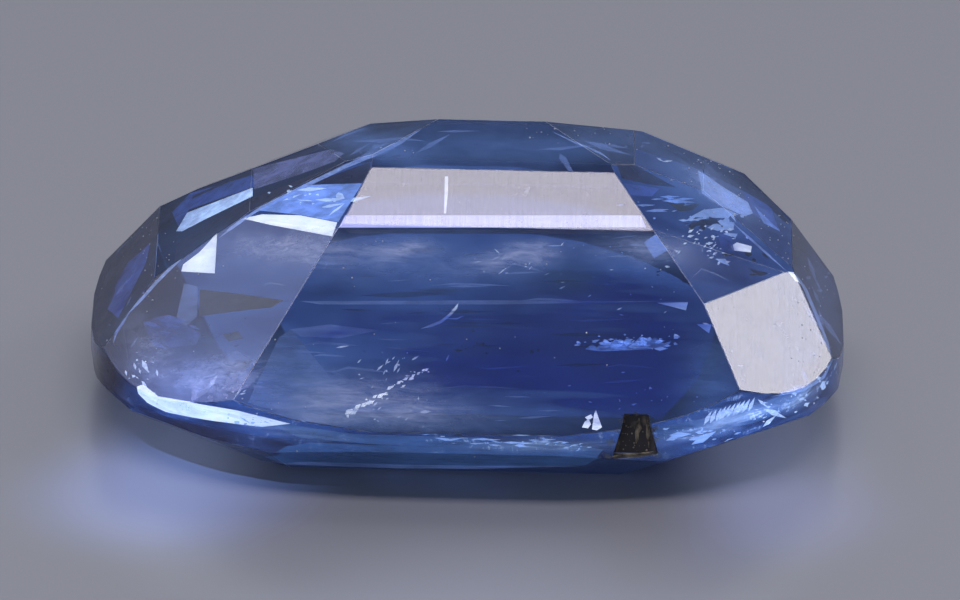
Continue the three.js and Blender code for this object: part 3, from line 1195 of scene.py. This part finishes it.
# Each row is how many specks there are, around which image point and how widely.
DUST_PATCHES = [
    (46, (150, 250), (14, 34)),
    (40, (735, 190), (34, 22)),
    (16, (716, 164), (18, 8)),
    (22, (784, 236), (8, 16)),
    (44, (815, 330), (12, 42)),
    (60, (470, 290), (190, 90)),
    (26, (600, 135), (50, 9)),
]
SPECK_SIZES = (0.3, 1.0)


def build_dust():
    mesh = bmesh.new()
    for count, centre, spread in DUST_PATCHES:
        for _ in range(count):
            x, y = (chance.gauss(c, s) for c, s in zip(centre, spread))
            add_speck(mesh, x, y, chance.uniform(*SPECK_SIZES) * PIXEL)
    return piece_of("dust_specks", mesh, dust_finish())


build_rust()
build_dust()

# %% [markdown]
# ## The pocket's rim
# Rust has crept a little way into the crystal around the pocket. A line there would look drawn, so
# the rim is a row of ragged brown chips that overlap, nearer to the surface than the other flakes.

# %% Brown rim of the pocket
RIM = [(608, 456), (612, 444), (616, 432), (621, 420), (626, 415), (637, 414), (650, 415),
       (654, 428), (656, 440), (658, 452)]
RIM_CHIP_SIZES = (9, 16)
rim_stain = flake_finish("brown_rim_stain", (0.050, 0.040, 0.038), 0.3, 1.0, 8.0)
rim_chips = [chip(x + chance.gauss(0, 1.2), y + chance.gauss(0, 2), chance.uniform(*RIM_CHIP_SIZES))
             for x, y in RIM for _ in range(2)]
flakes("pocket_rim_stains", rim_stain, rim_chips, FLAKE_DEPTH * 0.5)

# %% [markdown]
# ## Floor and studio
# The floor is a plain sheet with a soft sheen. Large cards of light surround the stone, because a
# gem shows what is around it: one overhead for the long bright band, one at the right for the bright
# corner, and a wide dim one behind, which is what shows through the body.

# %% Floor
def floor_finish():
    finish = Finish.named("grey_floor")
    cloud = finish.noise((0.08, 0.08, 0.08))
    shade = finish.blend(cloud, (0.250, 0.248, 0.256, 1), (0.262, 0.260, 0.268, 1))
    names = {"Base Color": shade, "Roughness": 0.28, "IOR": 1.4}
    return finish.surface(finish.principled(names))


FLOOR_HALF, FLOOR_GAP = 400 * MM, 0.002 * MM


def build_floor():
    outline = bmesh.new()
    bmesh.ops.create_grid(outline, x_segments=1, y_segments=1, size=FLOOR_HALF)
    mesh = finished("studio_floor", outline)
    mesh.materials.append(floor_finish())
    floor = placed("studio_floor", mesh)
    floor.location.z = -FLOOR_GAP
    return floor


build_floor()


# %% Lights
def hung(name, data, at, way):
    """A light at a place, that shines one way."""
    light = placed(name, data)
    light.location = at
    light.rotation_euler = way.to_track_quat("-Z", "Y").to_euler()
    return light


def card(name, turn, rise, distance, wide, high, colour):
    """A rectangle of light that faces the stone. Turn is from +X, anticlockwise from above."""
    turn, rise = math.radians(turn), math.radians(rise)
    way = Vector((math.cos(turn) * math.cos(rise), math.sin(turn) * math.cos(rise), math.sin(rise)))
    data = bpy.data.lights.new(name, "AREA")
    data.shape = "RECTANGLE"
    data.size, data.size_y = wide * MM, high * MM
    brightest = max(colour)
    data.energy = brightest * math.pi * data.size * data.size_y
    data.color = [part / brightest for part in colour]
    return hung(name, data, way * distance * MM, -way)


# Each row is a name, the turn and rise of the card, how far away it stands, its size and its colour.
CARDS = [
    ("overhead_card", 90, 88.5, 120, 130, 30, (5.5, 5.2, 6.0)),
    ("right_card", 30, 33, 120, 30, 34, (5.7, 5.6, 6.2)),
    ("left_card", 158, 48, 120, 46, 40, (0.75, 0.72, 0.85)),
    ("back_card", 90, 38, 120, 130, 66, (1.10, 1.16, 1.30)),
    ("front_card", 270, 32, 130, 150, 50, (0.45, 0.55, 0.8)),
]
for row in CARDS:
    card(*row)


# %% [markdown]
# ## Pools of light
# A clear stone gathers light and throws it on the floor, deep blue beside its corners. Following
# such rays takes the renderer very long and leaves grains, so a soft spot of blue light stands in
# for each pool. Weaker ones lift the shade in front of the stone and in its pocket.

# %% Pools of light
def pool_of_light(name, centre, radius, power, colour, source):
    """A soft pool around an image point of the floor, where the stone sends light through itself."""
    eye, way = line_of_sight(*centre)
    spot = eye - way * (eye.z / way.z)
    data = bpy.data.lights.new(name, "SPOT")
    above = spot + source
    data.spot_size = 2 * math.atan(radius * MM / (spot - above).length)
    data.spot_blend = 1.0
    data.shadow_soft_size = POOL_SOURCE
    data.energy = power
    data.color = colour
    return hung(name, data, above, spot - above)


POOL_SOURCE = 0.5 * MM
HIGH_LEFT = Vector((-30, -30, 80)) * MM
LOW_FRONT = Vector((0, -85, 32)) * MM
# Each row is a name, the image point, the radius in millimetres, the power, the colour and from where.
POOLS = [
    ("left_pool", (165, 492), 1.7, 0.36, (0.22, 0.36, 1.0), HIGH_LEFT),
    ("right_pool", (790, 515), 1.3, 0.12, (0.25, 0.32, 1.0), HIGH_LEFT),
    ("right_fill", (770, 440), 1.2, 0.55, (0.55, 0.66, 1.0), LOW_FRONT),
    ("left_fill", (170, 445), 1.2, 0.45, (0.50, 0.62, 1.0), LOW_FRONT),
    ("near_fill", (480, 665), 3.4, 0.16, (0.66, 0.76, 1.0), HIGH_LEFT),
    ("pocket_fill", (634, 438), 0.5, 0.30, (1.0, 0.92, 0.80), HIGH_LEFT),
]
for row in POOLS:
    pool_of_light(*row)
print("there are", len(CARDS), "cards and", len(POOLS), "pools of light")

# %% Air of the studio
world = bpy.data.worlds.new("studio_air")
bpy.context.scene.world = world
air = Finish(world)
AIR_COLOUR, AIR_BRIGHTNESS = (0.70, 0.80, 1.0, 1), 0.20
glow = air.node("ShaderNodeBackground", {}, {"Color": AIR_COLOUR, "Strength": AIR_BRIGHTNESS})
air.node("ShaderNodeOutputWorld", {}, {"Surface": glow})

# %% [markdown]
# ## Light paths
# In a gem the light turns many times before it comes out, so its paths may be long.

# %% Light paths
scene = bpy.context.scene
scene.view_settings.view_transform = "Standard"
scene.cycles.max_bounces = 10
scene.cycles.transmission_bounces = 10
scene.cycles.glossy_bounces = 6
scene.cycles.diffuse_bounces = 3
scene.cycles.use_denoising = True
